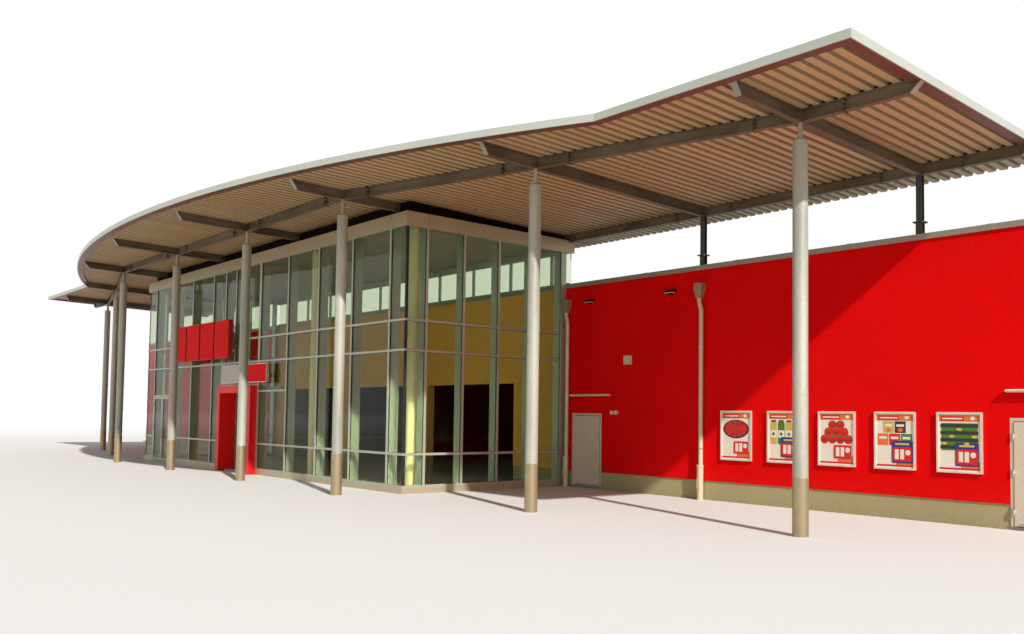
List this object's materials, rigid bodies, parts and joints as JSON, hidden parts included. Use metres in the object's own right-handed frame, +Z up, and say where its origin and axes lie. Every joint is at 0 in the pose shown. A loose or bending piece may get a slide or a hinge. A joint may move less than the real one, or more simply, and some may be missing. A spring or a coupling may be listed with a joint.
{
  "type": "supermarket building, 1:2 scale model",
  "caption": "Half-size model of a flat-roofed supermarket hall with a glazed foyer, working doors and a bowed steel canopy on tube columns.",
  "frame": {"origin": "centre of the overall footprint, at ground level", "axes": "+X along the street front to the right, +Y into the building, +Z up"},
  "size_m": [24.83, 17.3119, 3.8363],
  "materials": {
    "red_render": "fine rendered wall, painted red",
    "grey_render": "fine rendered plinth, grey",
    "ochre_render": "smooth plaster, ochre",
    "floor": "smooth stone floor",
    "roofing": "matt roofing sheet",
    "cap_metal": "satin sheet, grey",
    "frame_metal": "satin",
    "glass": "clear, greenish",
    "band_metal": "satin, fawn grey",
    "black_metal": "matt black",
    "column_steel": "satin, light grey",
    "sleeve": "matt, grey brown",
    "beam_steel": "satin, brown grey",
    "deck_metal": "satin, fawn",
    "fascia_metal": "satin, pale grey",
    "strip_metal": "matt, dark red brown",
    "portal_red": "gloss red",
    "door_grey": "satin grey",
    "steel": "brushed",
    "pipe_metal": "satin, pale grey",
    "lamp_white": "matt off white",
    "sign_red": "gloss red",
    "sign_face": "satin, pale"
  },
  "bodies": {
    "building": {"hall_floor": "floor", "hall_wall_front": "red_render", "hall_wall_rear": "red_render", "hall_wall_sides": "red_render", "plinth": "grey_render", "parapet_caps": "cap_metal", "hall_roof": "roofing", "foyer_back_wall": "ochre_render", "foyer_floor": "floor", "foyer_kerb": "grey_render", "glazing_frame_front": "frame_metal", "glazing_frame_ends": "frame_metal", "glass_front": "glass", "glass_ends": "glass", "clerestory_frame": "frame_metal", "clerestory_glass": "glass", "band_panels": "band_metal", "foyer_roof": "roofing", "roof_upstand": "black_metal", "end_panels": "frame_metal", "inner_columns": "ochre_render", "columns": "column_steel", "column_sleeves": "sleeve", "column_pins": "column_steel", "cross_beams": "beam_steel", "front_beams": "beam_steel", "rear_beam": "beam_steel", "splice_plates": "beam_steel", "roof_posts": "beam_steel", "post_flanges": "beam_steel", "canopy_deck": "deck_metal", "canopy_fascia": "fascia_metal", "edge_strip": "strip_metal", "portal": "portal_red", "door_header": "frame_metal", "service_door_frames": "door_grey", "hinge_pins": "steel", "poster_frames": "frame_metal", "downpipes": "pipe_metal", "hoppers": "pipe_metal", "line_lights": "lamp_white", "wall_fittings": "lamp_white", "sign_panel": "sign_face", "sign_blocks": "sign_red", "sign_arms": "steel"},
    "slide_leaf_left": {"slide_left_frame": "frame_metal", "slide_left_glass": "glass"},
    "slide_leaf_right": {"slide_right_frame": "frame_metal", "slide_right_glass": "glass"},
    "side_leaf_left": {"side_left_frame": "frame_metal", "side_left_glass": "glass"},
    "side_leaf_right": {"side_right_frame": "frame_metal", "side_right_glass": "glass"},
    "service_leaf_1": {"service_door_1": "door_grey"},
    "service_leaf_2": {"service_door_2": "door_grey"}
  },
  "joints": [
    {"name": "slide_left_travel", "type": "slide", "parent": "building", "child": "slide_leaf_left", "axis": [-1, 0, 0], "range_m": [0, 0.52]},
    {"name": "slide_right_travel", "type": "slide", "parent": "building", "child": "slide_leaf_right", "axis": [1, 0, 0], "range_m": [0, 0.52]},
    {"name": "side_left_hinge", "type": "hinge", "parent": "building", "child": "side_leaf_left", "pos_m": [-3.831, -6.592, 0.6], "axis": [0, 0, -1], "range_deg": [0, 90]},
    {"name": "side_right_hinge", "type": "hinge", "parent": "building", "child": "side_leaf_right", "pos_m": [-2.925, -6.592, 0.6], "axis": [0, 0, 1], "range_deg": [0, 90]},
    {"name": "service_hinge_1", "type": "hinge", "parent": "building", "child": "service_leaf_1", "pos_m": [5.235, -3.814, 0.5], "axis": [0, 0, -1], "range_deg": [0, 100]},
    {"name": "service_hinge_2", "type": "hinge", "parent": "building", "child": "service_leaf_2", "pos_m": [11.143, -3.814, 0.5], "axis": [0, 0, -1], "range_deg": [0, 100]}
  ],
  "couplings": [
    {"joint": "slide_right_travel", "follows": "slide_left_travel", "ratio": 1}
  ]
}
